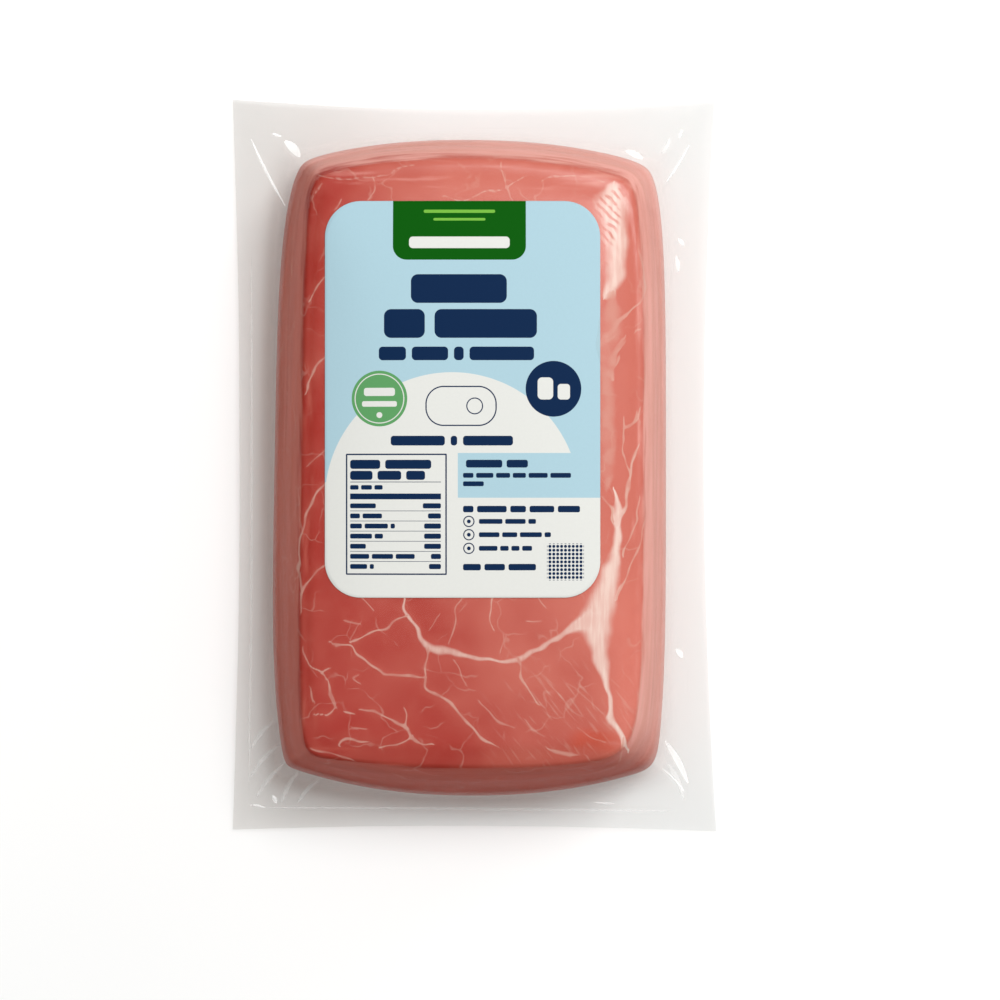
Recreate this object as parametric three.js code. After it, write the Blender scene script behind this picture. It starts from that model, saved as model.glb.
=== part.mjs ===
// A raw pork loin, vacuum packed in a clear pouch that has a paper label on its front.
// It lies on its back with the label up. Millimetres, +Z up, +Y towards the pack's top end,
// and the origin is on the surface that it lies on, under the middle of the pouch.
import * as THREE from 'three';

// The loin, as the vacuum has pressed it: a block with bulging sides and round shoulders.
// Its widest outline has four corners, joined by edges that bulge out.
const loin = {
  centre: [-1.1, -0.7],
  corners: {
    topRight: [58.8, 96.0],
    topLeft: [-55.6, 97.6],
    bottomLeft: [-59.0, -95.2],
    bottomRight: [58.8, -95.6],
  },
  bulges: { right: 3.1, top: 7.8, left: 5.0, bottom: 9.4 },
  bulgePowers: { sides: 4, ends: 2.2 },
  height: 61.5,
  crown: [0.8, 1.1], // the top face's highest point, from the centre
  crownPower: 3.2, // the top face falls from there to its rim as this power
  footInset: 16, // from the widest outline in to the flat that it rests on
  cornerPowers: { widest: 26, rim: 26, crown: 3, foot: 7 }, // high is sharp
};

// The rim of the loin's top face, laid out in the same way
const rim = {
  corners: {
    topRight: [50.9, 88.4],
    topLeft: [-49.2, 89.6],
    bottomLeft: [-51.6, -89.4],
    bottomRight: [50.6, -90.0],
  },
  bulges: { right: 3.2, top: 6.4, left: 1.8, bottom: 3.8 },
  bulgePowers: { sides: 4, ends: 2.2 },
  height: 55.0,
};

// The lip that the vacuum draws out of the loin's side, where the two films leave it
const lip = { topHeight: 17, bottomHeight: 8.5 };

// The films' flat border round the loin
const border = {
  corners: {
    topRight: [78.2, 118.6],
    topLeft: [-78.8, 119.2],
    bottomLeft: [-78.8, -118.6],
    bottomRight: [78.8, -119.2],
  },
  bulges: { right: -3.9, top: -3.1, left: -2.4, bottom: -1.7 }, // its edges draw in
  bulgePowers: { sides: 2, ends: 2 },
  thickness: 0.7,
  sealGroove: 0.2, // the sealed band is this much thinner
  edgeHeight: 3.6, // of the films' middle at the outer edge
  cornerDroop: 1.7, // lower than that at the corners
  waveHeight: 0.8,
  filletShare: 0.17, // how fast the films close on each other, as a share of the border
  foldHeight: 2.6, // of the fold that runs out from each corner of the loin
};

const label = {
  width: 85.2,
  length: 122.7,
  centre: [-3.3, 20.0],
  cornerRadius: 11.2,
  thickness: 0.35,
  gap: 0.3,
};

const pointsPerSide = { pouch: 28, label: 18 };

const lerp = THREE.MathUtils.lerp;

// The boundary of the square from -1 to 1, anticlockwise from its bottom right corner,
// with its points closer together towards the corners
function squareLoop(perSide) {
  const crowding = 0.32;
  const loop = [];
  for (let side = 0; side < 4; side++) {
    for (let i = 0; i < perSide; i++) {
      const t = -1 + (2 * i) / perSide;
      const along = t * (1 + crowding - crowding * t * t);
      loop.push([[1, along], [-along, 1], [-1, -along], [along, -1]][side]);
    }
  }
  return loop;
}

// A point of the square's boundary, drawn in towards a square with rounded corners
function rounded([x, y], power) {
  const reach = (Math.abs(x) ** power + Math.abs(y) ** power) ** (1 / power);
  return [x / reach, y / reach];
}

// The point at (x, y) of the unit square laid out between four corners. The edges bulge
// out by their own amounts at the middle, and less by a power of the way to a corner.
function fourSided([x, y], { corners, bulges, bulgePowers }, inset = 0) {
  const [right, up] = [(x + 1) / 2, (y + 1) / 2];
  const { topRight, topLeft, bottomLeft, bottomRight } = corners;
  const [px, py] = [0, 1].map((k) =>
    lerp(lerp(bottomLeft[k], bottomRight[k], right), lerp(topLeft[k], topRight[k], right), up),
  );
  const sideBulge = x > 0 ? bulges.right : bulges.left;
  const endBulge = y > 0 ? bulges.top : bulges.bottom;
  return [
    px + x * (sideBulge * (1 - Math.abs(y) ** bulgePowers.sides) - inset),
    py + y * (endBulge * (1 - Math.abs(x) ** bulgePowers.ends) - inset),
  ];
}

// A point of the loin's lower side, at an inset from its widest outline
function lowerPoint(square, inset, height, power) {
  const [x, y] = fourSided(rounded(square, power), loin, inset);
  return [loin.centre[0] + x, loin.centre[1] + y, height];
}

// A point of the loin's upper side, at a share of the way in from its widest outline to the rim
function upperPoint(square, share, height, power) {
  const place = rounded(square, power);
  const [[outerX, outerY], [innerX, innerY]] = [fourSided(place, loin), fourSided(place, rim)];
  return [
    loin.centre[0] + lerp(outerX, innerX, share),
    loin.centre[1] + lerp(outerY, innerY, share),
    height,
  ];
}

const crown = [0, 1].map((k) => loin.centre[k] + loin.crown[k]);

// The top face's height at a share of the way from its middle to its rim
function faceHeight(share) {
  return loin.height - (loin.height - rim.height) * share ** loin.crownPower;
}

// Where the rim would be for the ring at that share: rings are rounder towards the middle
function rimFor(square, share) {
  const { crown: inner, rim: outer } = loin.cornerPowers;
  return upperPoint(square, 1, rim.height, lerp(inner, outer, share ** 4));
}

// The top face's height over (x, y). The share depends on the ring and the ring on the share,
// so it is found in a few rounds.
function topHeight(x, y) {
  const [dx, dy] = [x - crown[0], y - crown[1]];
  const [across, along] = [dx / rim.corners.topRight[0], dy / rim.corners.topRight[1]];
  const reach = Math.max(Math.abs(across), Math.abs(along), Number.EPSILON);
  let share = Math.min(reach, 1);
  for (let round = 0; round < 12; round++) {
    const [rimX, rimY] = rimFor([across / reach, along / reach], share);
    share = Math.min(Math.hypot(dx, dy) / Math.hypot(rimX - crown[0], rimY - crown[1]), 1);
  }
  return faceHeight(share);
}

// The films' middle height and half thickness at a share of the way from loin to outer edge
function borderHeights([x, y], share) {
  const cornerness = (x * y) ** 4;
  const foldness = (x * y) ** 48;
  const wave = Math.sin(5.1 * x + 0.6) * Math.cos(7.3 * y - 0.4) * (1 - cornerness);
  const edge = border.edgeHeight - border.cornerDroop * cornerness + border.waveHeight * wave * share;
  const lipMiddle = (lip.topHeight + lip.bottomHeight) / 2;
  const lipHalf = (lip.topHeight - lip.bottomHeight) / 2;
  const sealed = THREE.MathUtils.smoothstep(share, 0.5, 0.62);
  const flatHalf = (border.thickness - border.sealGroove * sealed) / 2;
  const closing = Math.exp(-((share / border.filletShare) ** 1.3));
  const fold = border.foldHeight * foldness * Math.sin(Math.PI * share ** 0.7);
  return {
    middle: edge + (lipMiddle - edge) * (1 - share) ** 1.8 + fold,
    half: flatHalf + (lipHalf - flatHalf) * closing,
  };
}

// Closes rings of equal count, from a first pole to a last one, into one solid
function closedSolid(firstPole, rings, lastPole) {
  const count = rings[0].length;
  const positions = [firstPole, ...rings.flat(), lastPole].flat();
  const last = rings.length * count + 1;
  const index = [];
  const at = (ring, i) => 1 + ring * count + (i % count);
  for (let i = 0; i < count; i++) {
    index.push(0, at(0, i + 1), at(0, i));
    for (let ring = 0; ring + 1 < rings.length; ring++) {
      const [a, b] = [at(ring, i), at(ring, i + 1)];
      const [c, d] = [at(ring + 1, i), at(ring + 1, i + 1)];
      index.push(a, b, d, a, d, c);
    }
    index.push(at(rings.length - 1, i), at(rings.length - 1, i + 1), last);
  }
  const geometry = new THREE.BufferGeometry();
  geometry.setAttribute('position', new THREE.Float32BufferAttribute(positions, 3));
  geometry.setIndex(index);
  geometry.computeVertexNormals();
  return geometry;
}

// Rings round the loin's side, along a curve of (inset or share, height, corner power), each
// made by the given function of those three
function sideRings(loop, place, stations, shares) {
  const curve = new THREE.CatmullRomCurve3(stations.map((station) => new THREE.Vector3(...station)));
  return shares.map((share) => {
    const { x: inwards, y: height, z: power } = curve.getPoint(share);
    return loop.map((square) => place(square, inwards, height, power));
  });
}

// The loin's underside and lower side, from the middle of its foot out to the films
function lowerRings(loop) {
  const { widest, foot: footPower } = loin.cornerPowers;
  const foot = loop.map((square) => lowerPoint(square, loin.footInset, 0, footPower));
  const midFoot = foot.map(([x, y]) => [(x + loin.centre[0]) / 2, (y + loin.centre[1]) / 2, 0]);
  const stations = [
    [loin.footInset, 0, footPower],
    [9.5, 0.5, 8],
    [4.0, 2.8, 12],
    [0.8, lip.bottomHeight - 1.5, widest - 5],
  ];
  return [midFoot, foot, ...sideRings(loop, lowerPoint, stations, [0.4, 0.7, 1])];
}

// The films' border, out along its underside and back along its top
function borderRings(loop) {
  const shares = [0, 0.11, 0.24, 0.42, 0.5, 0.62, 0.82, 1];
  const ring = (share, sign) =>
    loop.map((square) => {
      const inner = lowerPoint(square, 0, 0, loin.cornerPowers.widest);
      const outer = fourSided(square, border);
      const { middle, half } = borderHeights(square, share);
      return [lerp(inner[0], outer[0], share), lerp(inner[1], outer[1], share), middle + sign * half];
    });
  const under = shares.map((share) => ring(share, -1));
  const over = shares.map((share) => ring(share, 1)).reverse();
  return [...under, ...over];
}

// The loin's upper side, over its shoulder and in across the top face
function upperRings(loop) {
  const { widest, rim: rimPower } = loin.cornerPowers;
  const stations = [
    [0, lip.topHeight, widest],
    [0.12, 21.5, 25],
    [0.25, 28, 24],
    [0.4, 37, 23],
    [0.6, 45.5, 23],
    [0.8, 50.5, 24],
    [0.92, 53.2, 25],
    [1, rim.height, rimPower],
  ];
  const face = [0.95, 0.87, 0.74, 0.57, 0.33].map((share) =>
    loop.map((square) => {
      const [x, y] = rimFor(square, share);
      return [lerp(crown[0], x, share), lerp(crown[1], y, share), faceHeight(share)];
    }),
  );
  return [...sideRings(loop, upperPoint, stations, [0.07, 0.15, 0.32, 0.48, 0.63, 0.76, 0.89, 1]), ...face];
}

function pouchSolid() {
  const loop = squareLoop(pointsPerSide.pouch);
  const rings = [...lowerRings(loop), ...borderRings(loop), ...upperRings(loop)];
  return closedSolid([...loin.centre, 0], rings, [...crown, loin.height]);
}

// The label's outline: a rectangle with quarter circles at its corners, anticlockwise
function labelOutline() {
  const shape = new THREE.Shape();
  const [halfWidth, halfLength, radius] = [label.width / 2, label.length / 2, label.cornerRadius];
  shape.absarc(halfWidth - radius, halfLength - radius, radius, 0, Math.PI / 2);
  shape.absarc(radius - halfWidth, halfLength - radius, radius, Math.PI / 2, Math.PI);
  shape.absarc(radius - halfWidth, radius - halfLength, radius, Math.PI, 1.5 * Math.PI);
  shape.absarc(halfWidth - radius, radius - halfLength, radius, 1.5 * Math.PI, 2 * Math.PI);
  shape.closePath();
  const count = 4 * pointsPerSide.label;
  return shape.getSpacedPoints(count).slice(0, count);
}

// The paper label, lying on the film with the film's own curve
function labelSolid() {
  const outline = labelOutline();
  const [centreX, centreY] = label.centre;
  const ring = (share, lift) =>
    outline.map((point) => {
      const [x, y] = [centreX + point.x * share, centreY + point.y * share];
      return [x, y, topHeight(x, y) + lift];
    });
  const shares = [0.35, 0.7, 0.9, 1];
  const under = shares.map((share) => ring(share, label.gap));
  const over = shares.map((share) => ring(share, label.gap + label.thickness)).reverse();
  const middle = topHeight(centreX, centreY) + label.gap;
  return closedSolid(
    [centreX, centreY, middle],
    [...under, ...over],
    [centreX, centreY, middle + label.thickness],
  );
}

function piece(name, geometry, color, roughness) {
  const material = new THREE.MeshStandardMaterial({ color, roughness, metalness: 0 });
  const mesh = new THREE.Mesh(geometry, material);
  mesh.name = name;
  return mesh;
}

const pack = new THREE.Group();
pack.add(
  piece('pouch', pouchSolid(), 0xc8685c, 0.25),
  piece('label', labelSolid(), 0xb4d4e0, 0.55),
);

export default pack;
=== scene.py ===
import math

import bpy
import numpy as np
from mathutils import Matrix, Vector


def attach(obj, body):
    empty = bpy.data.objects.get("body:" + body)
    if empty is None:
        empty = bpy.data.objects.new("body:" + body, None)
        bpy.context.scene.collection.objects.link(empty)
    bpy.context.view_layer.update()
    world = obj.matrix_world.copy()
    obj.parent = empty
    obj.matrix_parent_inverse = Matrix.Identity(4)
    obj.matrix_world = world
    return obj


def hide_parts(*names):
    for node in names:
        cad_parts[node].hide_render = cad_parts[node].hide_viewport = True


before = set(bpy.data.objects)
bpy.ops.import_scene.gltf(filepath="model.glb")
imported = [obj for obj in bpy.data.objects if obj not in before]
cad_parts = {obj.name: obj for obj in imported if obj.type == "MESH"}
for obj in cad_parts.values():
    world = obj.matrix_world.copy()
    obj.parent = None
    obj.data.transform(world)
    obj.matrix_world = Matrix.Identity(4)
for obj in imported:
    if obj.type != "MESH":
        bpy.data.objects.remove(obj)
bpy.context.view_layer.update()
mm = 0.001

# The block that the vacuum has pressed the loin into, and the films' flat border round it
loin = {
    "centre": (-1.1, -0.7),
    "corners": {"topRight": (58.8, 96.0), "topLeft": (-55.6, 97.6),
                "bottomLeft": (-59.0, -95.2), "bottomRight": (58.8, -95.6)},
    "bulges": {"right": 3.1, "top": 7.8, "left": 5.0, "bottom": 9.4},
    "bulgePowers": {"sides": 4, "ends": 2.2},
    "height": 61.5,
    "crown": (0.8, 1.1),  # the top face's highest point, from the centre
    "crownPower": 3.2,
    "widestPower": 56,  # a high corner power makes a sharp corner
    "rimPower": 26,
    "middlePower": 3,
    "softCorner": 0.5,  # the bottom right corner's power as a share of the others'
    "cornerPulls": {"topRight": (1.9, 1.4), "topLeft": (1.8, 0.9), "bottomLeft": (0.0, 0.0),
                    "bottomRight": (0.0, 0.0)},
    "pullPower": 12,
    "lipTop": 17.0,
    "lipBottom": 8.5,
}
rim = {
    "corners": {"topRight": (50.9, 88.4), "topLeft": (-49.2, 89.6),
                "bottomLeft": (-51.6, -89.4), "bottomRight": (50.6, -90.0)},
    "bulges": {"right": 3.2, "top": 6.4, "left": 1.8, "bottom": 3.8},
    "bulgePowers": {"sides": 4, "ends": 2.2},
    "height": 55.0,
}
border = {
    "corners": {"topRight": (78.2, 118.6), "topLeft": (-78.8, 119.2),
                "bottomLeft": (-78.8, -118.6), "bottomRight": (78.8, -119.2)},
    "bulges": {"right": -3.9, "top": -3.1, "left": -2.4, "bottom": -1.7},
    "bulgePowers": {"sides": 2, "ends": 2},
    "thickness": 0.7,
    "sealGroove": 0.2,
    "edgeHeight": 3.6,
    "cornerDroop": 1.7,
    "waveHeight": 0.8,
    "filletShare": 0.17,
    "foldHeight": 1.2,
    "cornerPower": 4,  # of how near a point is to a corner
    "foldPower": 48,
    "closingPower": 1.3,
    "fallPower": 1.8,
    "grooveShares": (0.5, 0.62),
}
crown = (loin["centre"][0] + loin["crown"][0], loin["centre"][1] + loin["crown"][1])

# Stations up the loin's side as (share of the way in from its widest outline to the rim of
# the top face, height, corner power), and down to its foot as (inset, height, corner power)
upperSide = [(0.93, 53.6, 26), (0.86, 52.1, 26), (0.75, 49.4, 26), (0.6, 45.5, 27), (0.4, 37, 29),
             (0.25, 28, 33), (0.12, 21.5, 42), (0, 17, 56)]
lowerSide = [(0.8, 7, 21), (4, 2.8, 12), (9.5, 0.5, 8), (16, 0, 7)]
faceStations = [0.87, 0.93, 0.97, 1.0]  # shares of the way from the crown to the rim
patchShare = 0.8  # the top face is one grid out to this share


# Smooth step from 0 to 1 as a value goes from low to high
def smoothStep(value, low, high):
    t = np.clip((value - low) / (high - low), 0, 1)
    return t * t * (3 - 2 * t)


# Draws a point of the square's edge in towards a square with rounded corners:
# the point divided by its length in the norm of that power
def rounded(x, y, power):
    reach = (np.abs(x) ** power + np.abs(y) ** power) ** (1 / power)
    return x / reach, y / reach


# The unit square laid out between four corners. Each edge bulges out most at its middle,
# and less by a power of the way to the corner.
def fourSided(x, y, sheet, inset=0.0):
    right, up = (x + 1) / 2, (y + 1) / 2
    low, high = [], []
    corners = sheet["corners"]
    for k in (0, 1):
        low.append(corners["bottomLeft"][k] * (1 - right) + corners["bottomRight"][k] * right)
        high.append(corners["topLeft"][k] * (1 - right) + corners["topRight"][k] * right)
    bulges, powers = sheet["bulges"], sheet["bulgePowers"]
    sideBulge = np.where(x > 0, bulges["right"], bulges["left"])
    endBulge = np.where(y > 0, bulges["top"], bulges["bottom"])
    return (low[0] * (1 - up) + high[0] * up + x * (sideBulge * (1 - np.abs(y) ** powers["sides"]) - inset),
            low[1] * (1 - up) + high[1] * up + y * (endBulge * (1 - np.abs(x) ** powers["ends"]) - inset))


# The point's square with rounded corners, the bottom right one rounder than the others
def softened(x, y, power):
    return rounded(x, y, np.where((x > 0) & (y < 0), loin["softCorner"], 1) * power)


# The loin's widest outline, less an inset. Each corner is pulled in by its own amount, times
# a high power of the way out to it.
def widestOutline(x, y, inset):
    px, py = fourSided(x, y, loin, inset)
    pulls = loin["cornerPulls"]
    for name, inQuadrant in (("topRight", (x > 0) & (y > 0)), ("topLeft", (x <= 0) & (y > 0)),
                             ("bottomLeft", (x <= 0) & (y <= 0)), ("bottomRight", (x > 0) & (y <= 0))):
        reach = inQuadrant * np.abs(x * y) ** loin["pullPower"]
        px, py = px - np.sign(x) * pulls[name][0] * reach, py - np.sign(y) * pulls[name][1] * reach
    return px, py


# A ring round the loin's lower side, at an inset from its widest outline
def lowerRing(x, y, inset, height, power):
    px, py = widestOutline(*softened(x, y, power), inset)
    return np.stack([px + loin["centre"][0], py + loin["centre"][1], np.full_like(px, height)], axis=-1)


# A ring round its upper side, at a share of the way in from its widest outline to the rim
def upperRing(x, y, share, height, power):
    x, y = softened(x, y, power)
    outer, inner = widestOutline(x, y, 0), fourSided(x, y, rim)
    px, py = (outer[k] * (1 - share) + inner[k] * share + loin["centre"][k] for k in (0, 1))
    return np.stack([px, py, np.full_like(px, height)], axis=-1)


# The rim as the face's ring at a share would have it: rings are rounder towards the middle
def rimFor(x, y, share):
    power = loin["middlePower"] + (loin["rimPower"] - loin["middlePower"]) * share ** 4
    return upperRing(x, y, 1, rim["height"], power)


# The top face at a share of the way from the crown to the rim, in the direction of (x, y) on
# the square's edge. It falls from the crown as a power of that share.
def facePoints(x, y, share):
    share = np.broadcast_to(share, np.shape(x))
    outer = rimFor(x, y, share)
    share = share[..., None]
    fall = (loin["height"] - rim["height"]) * share ** loin["crownPower"]
    flat = np.array([*crown, 0.0]) * (1 - share) + outer * share
    return np.concatenate([flat[..., :2], loin["height"] - fall], axis=-1)


# The top face's height over any (x, y). The share is the point's distance from the crown over
# the rim's in the same direction, and it is found in a few rounds, for each ring has its rim.
def topHeight(x, y):
    dx, dy = x - crown[0], y - crown[1]
    across, along = dx / rim["corners"]["topRight"][0], dy / rim["corners"]["topRight"][1]
    reach = np.maximum(np.maximum(np.abs(across), np.abs(along)), 1e-9)
    share = np.minimum(reach, 1)
    for _ in range(12):
        outer = rimFor(across / reach, along / reach, share)
        rimDistance = np.hypot(outer[..., 0] - crown[0], outer[..., 1] - crown[1])
        share = np.minimum(np.hypot(dx, dy) / rimDistance, 1)
    return loin["height"] - (loin["height"] - rim["height"]) * share ** loin["crownPower"]


# The films' border at a share of the way from the loin out to its edge, on its upper side
# (sign 1) or under side (sign -1). The two films close on each other as an exponential of
# that share, over a middle height that falls to the edge and waves a little.
def borderRing(x, y, share, sign):
    inner = lowerRing(x, y, 0, 0, loin["widestPower"])
    outerX, outerY = fourSided(x, y, border)
    cornerness, foldness = (x * y) ** border["cornerPower"], (x * y) ** border["foldPower"]
    wave = np.sin(5.1 * x + 0.6) * np.cos(7.3 * y - 0.4) * (1 - cornerness)
    edge = border["edgeHeight"] - border["cornerDroop"] * cornerness + border["waveHeight"] * wave * share
    lipMiddle, lipHalf = (loin["lipTop"] + loin["lipBottom"]) / 2, (loin["lipTop"] - loin["lipBottom"]) / 2
    flatHalf = (border["thickness"] - border["sealGroove"] * smoothStep(share, *border["grooveShares"])) / 2
    closing = math.exp(-((share / border["filletShare"]) ** border["closingPower"]))
    fold = border["foldHeight"] * foldness * math.sin(math.pi * share ** 0.7)
    half = flatHalf + (lipHalf - flatHalf) * closing
    height = edge + (lipMiddle - edge) * (1 - share) ** border["fallPower"] + fold + sign * half
    return np.stack([inner[:, 0] * (1 - share) + outerX * share,
                     inner[:, 1] * (1 - share) + outerY * share, height], axis=-1)


# A grid over the square from -1 to 1 with its lines closer together towards the edges, the
# order of the points round its edge, anticlockwise from the bottom right corner, and those points
def squareGrid(cellsX, cellsY, crowding=0.18):
    lines = [np.linspace(-1, 1, cells + 1) for cells in (cellsX, cellsY)]
    x, y = np.meshgrid(*[t * (1 + crowding - crowding * t * t) for t in lines])
    order = np.arange(x.size).reshape(x.shape)
    loop = np.concatenate([order[:-1, -1], order[-1, :0:-1], order[:0:-1, 0], order[0, :-1]])
    return x, y, loop, x.ravel()[loop], y.ravel()[loop]


# The share of the way out, and the point of the square's edge in the same direction
def outward(x, y):
    share = np.maximum(np.abs(x), np.abs(y))
    reach = np.maximum(share, 1e-9)
    return share, np.where(share > 0, x / reach, 1.0), np.where(share > 0, y / reach, 0.0)


# Rings along a natural cubic curve through the station rings. The curve's bends at the
# stations come from one linear system, so each new ring is a weighted sum of the stations.
def ringsThrough(stations, spacing):
    stations = np.array(stations)
    steps = np.linalg.norm(np.diff(stations, axis=0), axis=2).mean(axis=1)
    knots = np.concatenate([[0], np.cumsum(steps)])
    size = len(knots)
    system, pull = np.eye(size), np.zeros((size, size))
    for k in range(1, size - 1):
        before, after = steps[k - 1], steps[k]
        system[k, k - 1:k + 2] = before, 2 * (before + after), after
        pull[k, k - 1:k + 2] = 6 / before, -6 / before - 6 / after, 6 / after
    bends = np.linalg.solve(system, pull)
    count = int(round(knots[-1] / spacing)) + 1
    places = np.linspace(0, knots[-1], count)
    span = np.clip(np.searchsorted(knots, places, side="right") - 1, 0, size - 2)
    left = (knots[span + 1] - places) / steps[span]
    right = 1 - left
    weights = np.zeros((count, size))
    weights[np.arange(count), span] = left
    weights[np.arange(count), span + 1] = right
    weights += ((left ** 3 - left) * steps[span] ** 2 / 6)[:, None] * bends[span]
    weights += ((right ** 3 - right) * steps[span] ** 2 / 6)[:, None] * bends[span + 1]
    return np.tensordot(weights, stations, axes=1)


# Four-sided faces from four equal blocks of point numbers
def quadsOf(*blocks):
    return np.stack(blocks, axis=-1).reshape(-1, 4)


# One closed surface: a grid on top, rings round it going outwards and down, and a last point
# underneath. Returns the points and the faces, all facing outwards.
def closedSurface(patch, loop, rings, pole):
    rows, columns = patch.shape[:2]
    order = np.arange(rows * columns).reshape(rows, columns)
    faces = [quadsOf(order[:-1, :-1], order[:-1, 1:], order[1:, 1:], order[1:, :-1])]
    ringIds = rows * columns + np.arange(len(rings) * len(loop)).reshape(len(rings), len(loop))
    ids = np.vstack([loop, ringIds])
    following = np.roll(ids, -1, axis=1)
    faces.append(quadsOf(ids[:-1], ids[1:], following[1:], following[:-1]))
    points = np.concatenate([patch.reshape(-1, 3), np.reshape(rings, (-1, 3)), [pole]])
    last = np.full(len(loop), len(points) - 1)
    fan = np.stack([ids[-1], last, following[-1]], axis=-1)
    return points, [face for block in (*faces, fan) for face in block.tolist()]


# Each point's outward direction: the sum of the corner directions of the faces round it
def outwardNormals(points, faces):
    quads = np.array([face if len(face) == 4 else [*face, face[2]] for face in faces])
    a, b, c, d = (points[quads[:, k]] for k in range(4))
    facing = np.cross(c - a, d - b) + 1e-12
    normals = np.zeros_like(points)
    for k in range(3):
        normals[:, k] = sum(np.bincount(quads[:, j], facing[:, k], len(points)) for j in range(4))
    return normals / np.maximum(np.linalg.norm(normals, axis=1, keepdims=True), 1e-12)


# An even field of soft waves: plane waves in seeded directions, summed, about -1 to 1
def waves(points, length, seed, count=14):
    draw = np.random.default_rng(seed)
    directions = draw.normal(size=(count, 3))
    directions /= np.linalg.norm(directions, axis=1, keepdims=True)
    lengths = length * draw.uniform(0.7, 1.5, count)
    phases = draw.uniform(0, 2 * math.pi, count)
    total = np.zeros(len(points))
    for direction, each, phase in zip(directions, lengths, phases):
        total += np.sin(points @ direction * (2 * math.pi / each) + phase)
    return total / math.sqrt(count / 2) / 1.6


# A mesh object in metres from points in millimetres, smooth, at the origin
def addPiece(name, points, faces, material):
    mesh = bpy.data.meshes.new(name)
    mesh.from_pydata((points * mm).tolist(), [], faces)
    mesh.polygons.foreach_set("use_smooth", np.ones(len(faces), dtype=bool))
    mesh.materials.append(material)
    mesh.update()
    piece = bpy.data.objects.new(name, mesh)
    bpy.context.scene.collection.objects.link(piece)
    return piece


# Stores one number, or three, for each point of a piece
def storeOnPoints(piece, name, values):
    kind, key = ("FLOAT", "value") if values.ndim == 1 else ("FLOAT_VECTOR", "vector")
    attribute = piece.data.attributes.new(name, kind, "POINT")
    attribute.data.foreach_set(key, np.ascontiguousarray(values, dtype=np.float32).ravel())


# A node's output that formulas can use: every operator adds the node that works it out
class Value:
    def __init__(self, socket):
        self.socket = socket


# Adds a node to the given tree, or to that of the outputs it is linked to, with its options
# and inputs, and gives back one of its outputs
def addNode(kind, inputs=None, output=0, tree=None, **options):
    inputs = inputs or {}
    tree = tree or next(value.socket.id_data for value in inputs.values() if isinstance(value, Value))
    made = tree.nodes.new("ShaderNode" + kind)
    for name, value in options.items():
        setattr(made, name, value)
    for key, value in inputs.items():
        if isinstance(value, Value):
            tree.links.new(value.socket, made.inputs[key])
        else:
            made.inputs[key].default_value = value
    return Value(made.outputs[output])


# Arithmetic by its name, on numbers or, where the first output isn't a number, on vectors
def maths(operation, a, b=None, **options):
    given = a if isinstance(a, Value) else b
    kind = "Math" if given.socket.type == "VALUE" else "VectorMath"
    inputs = {0: a} if b is None else {0: a, 1: b}
    return addNode(kind, inputs, "Value" if operation == "LENGTH" else 0, operation=operation, **options)


for sign, operation in (("add", "ADD"), ("sub", "SUBTRACT"), ("mul", "MULTIPLY"), ("truediv", "DIVIDE"),
                        ("pow", "POWER")):
    setattr(Value, f"__{sign}__", lambda self, other, operation=operation: maths(operation, self, other))
    setattr(Value, f"__r{sign}__", lambda self, other, operation=operation: maths(operation, other, self))


# A value remapped so that it is 0 at low and 1 at high, eased at both ends. Low may be the
# larger of the two, which turns the slope round.
def easedMask(value, low, high):
    ends = {"Value": value, "From Min": low, "From Max": high, "To Min": 0.0, "To Max": 1.0}
    return addNode("MapRange", ends, interpolation_type="SMOOTHSTEP")


def mixNumbers(mask, first, second):
    return addNode("Mix", {0: mask, 2: first, 3: second})


def mixColours(mask, first, second, kind="MIX"):
    inputs = {0: mask, 6: first, 7: second}
    return addNode("Mix", inputs, 2, data_type="RGBA", blend_type=kind, clamp_factor=True)


def mixShaders(share, first, second):
    return addNode("MixShader", {0: share, 1: first, 2: second})


def strongest(masks):
    total = masks[0]
    for mask in masks[1:]:
        total = maths("MAXIMUM", total, mask)
    return total


# Noise around a place in millimetres, with features of about the given size
def noiseOf(place, size=1.0, detail=2.0, roughness=0.5, offset=0.0):
    inputs = {"Vector": place + (offset, -0.7 * offset, 0.3 * offset), "Scale": 1 / size}
    return addNode("TexNoise", {**inputs, "Detail": detail, "Roughness": roughness})


def attribute(tree, name, output="Fac"):
    return addNode("Attribute", None, output, tree, attribute_name=name)


def separated(vector):
    return [Value(output) for output in addNode("SeparateXYZ", {0: vector}).socket.node.outputs]


# The place on the object in millimetres, as a vector
def placeInMm(tree):
    return addNode("TexCoord", None, "Object", tree) * (1 / mm, 1 / mm, 1 / mm)


def newMaterial(name):
    material = bpy.data.materials.new(name)
    material.use_nodes = True
    material.node_tree.nodes.clear()
    return material, material.node_tree


def finishTree(shader, kind="Material"):
    tree = shader.socket.id_data
    tree.links.new(shader.socket, tree.nodes.new("ShaderNodeOutput" + kind).inputs["Surface"])


# A node group with inputs that are named with their defaults
def newGroup(name, inputs):
    group = bpy.data.node_groups.new(name, "ShaderNodeTree")
    for key, value in inputs.items():
        kind = "NodeSocketVector" if isinstance(value, tuple) else "NodeSocketFloat"
        group.interface.new_socket(key, in_out="INPUT", socket_type=kind).default_value = value
    given = group.nodes.new("NodeGroupInput")
    return group, {key: Value(given.outputs[key]) for key in inputs}


def finishGroup(group, results):
    for key, value in results.items():
        kind = "NodeSocketVector" if value.socket.type == "VECTOR" else "NodeSocketFloat"
        group.interface.new_socket(key, in_out="OUTPUT", socket_type=kind)
    ends = group.nodes.new("NodeGroupOutput")
    for key, value in results.items():
        group.links.new(value.socket, ends.inputs[key])
    return group


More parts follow.
